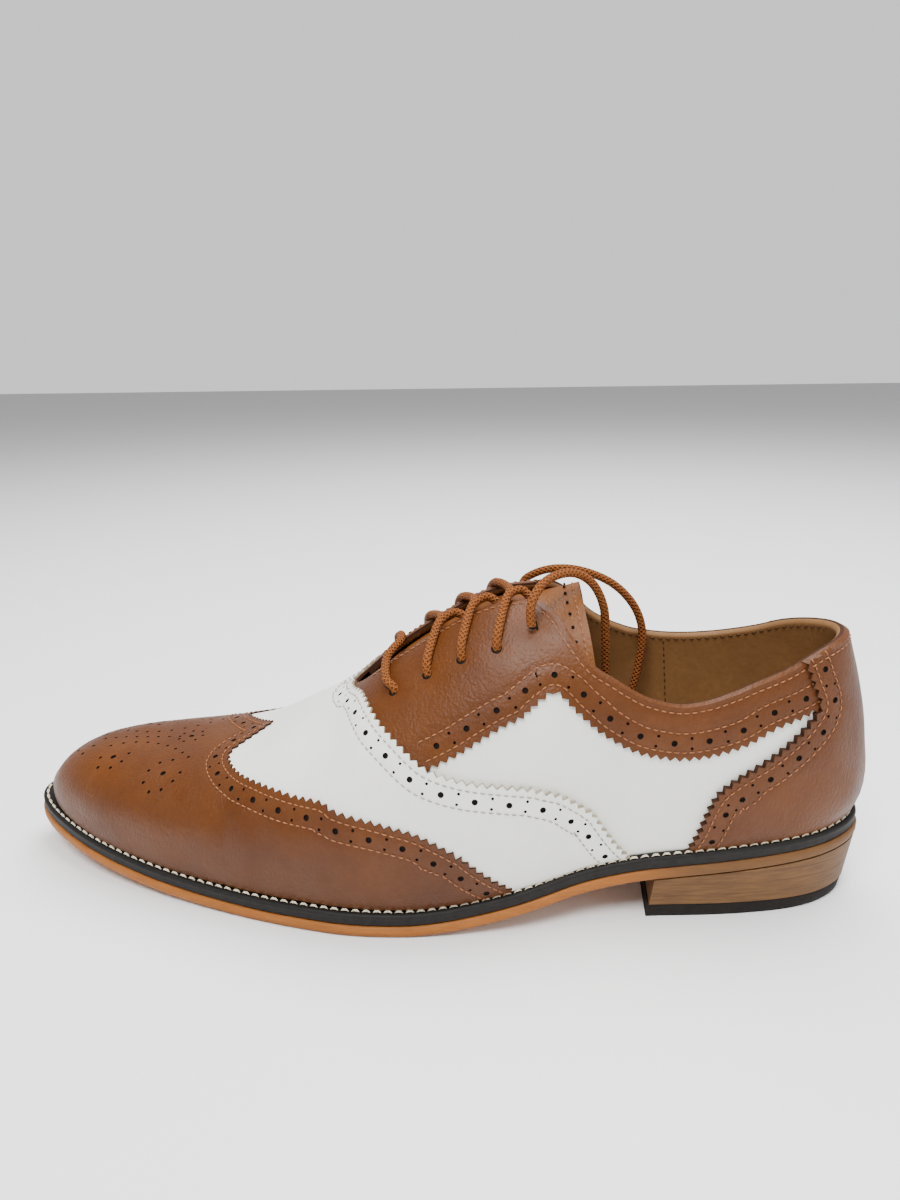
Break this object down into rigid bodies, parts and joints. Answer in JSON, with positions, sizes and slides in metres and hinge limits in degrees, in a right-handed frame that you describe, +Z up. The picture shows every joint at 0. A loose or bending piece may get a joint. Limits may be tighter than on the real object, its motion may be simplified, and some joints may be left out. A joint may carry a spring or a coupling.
{
  "type": "spectator shoe",
  "caption": "Left full-brogue wingtip oxford in brown and white leather, with a welted sole, a stacked heel and its laces hanging loose.",
  "frame": {"origin": "middle of the shoe's length and width, on the floor it stands on", "axes": "+X along the shoe towards the heel, the toe points along -X, -Y is the outer side of this left shoe, +Z is up"},
  "size_m": [0.3081, 0.1026, 0.1156],
  "materials": {
    "white_leather": "smooth",
    "cognac_leather": "polished",
    "black_welt": "satin",
    "sole_leather": "smooth",
    "stacked_leather": "smooth",
    "heel_rubber": "matt",
    "lace_cord": "waxed"
  },
  "bodies": {
    "root": {"outsole": "sole_leather", "welt": "black_welt", "heel_stack": "stacked_leather", "heel_top_piece": "heel_rubber", "insole": "sole_leather", "upper": "white_leather", "wing_cap": "cognac_leather", "vamp": "white_leather", "facing_lateral": "cognac_leather", "facing_medial": "cognac_leather", "heel_counter": "cognac_leather", "tongue": "cognac_leather", "lace_bar_1": "lace_cord", "lace_bar_2": "lace_cord", "lace_bar_3": "lace_cord", "lace_bar_4": "lace_cord", "lace_end_lateral": "lace_cord", "lace_end_medial": "lace_cord"}
  },
  "joints": []
}
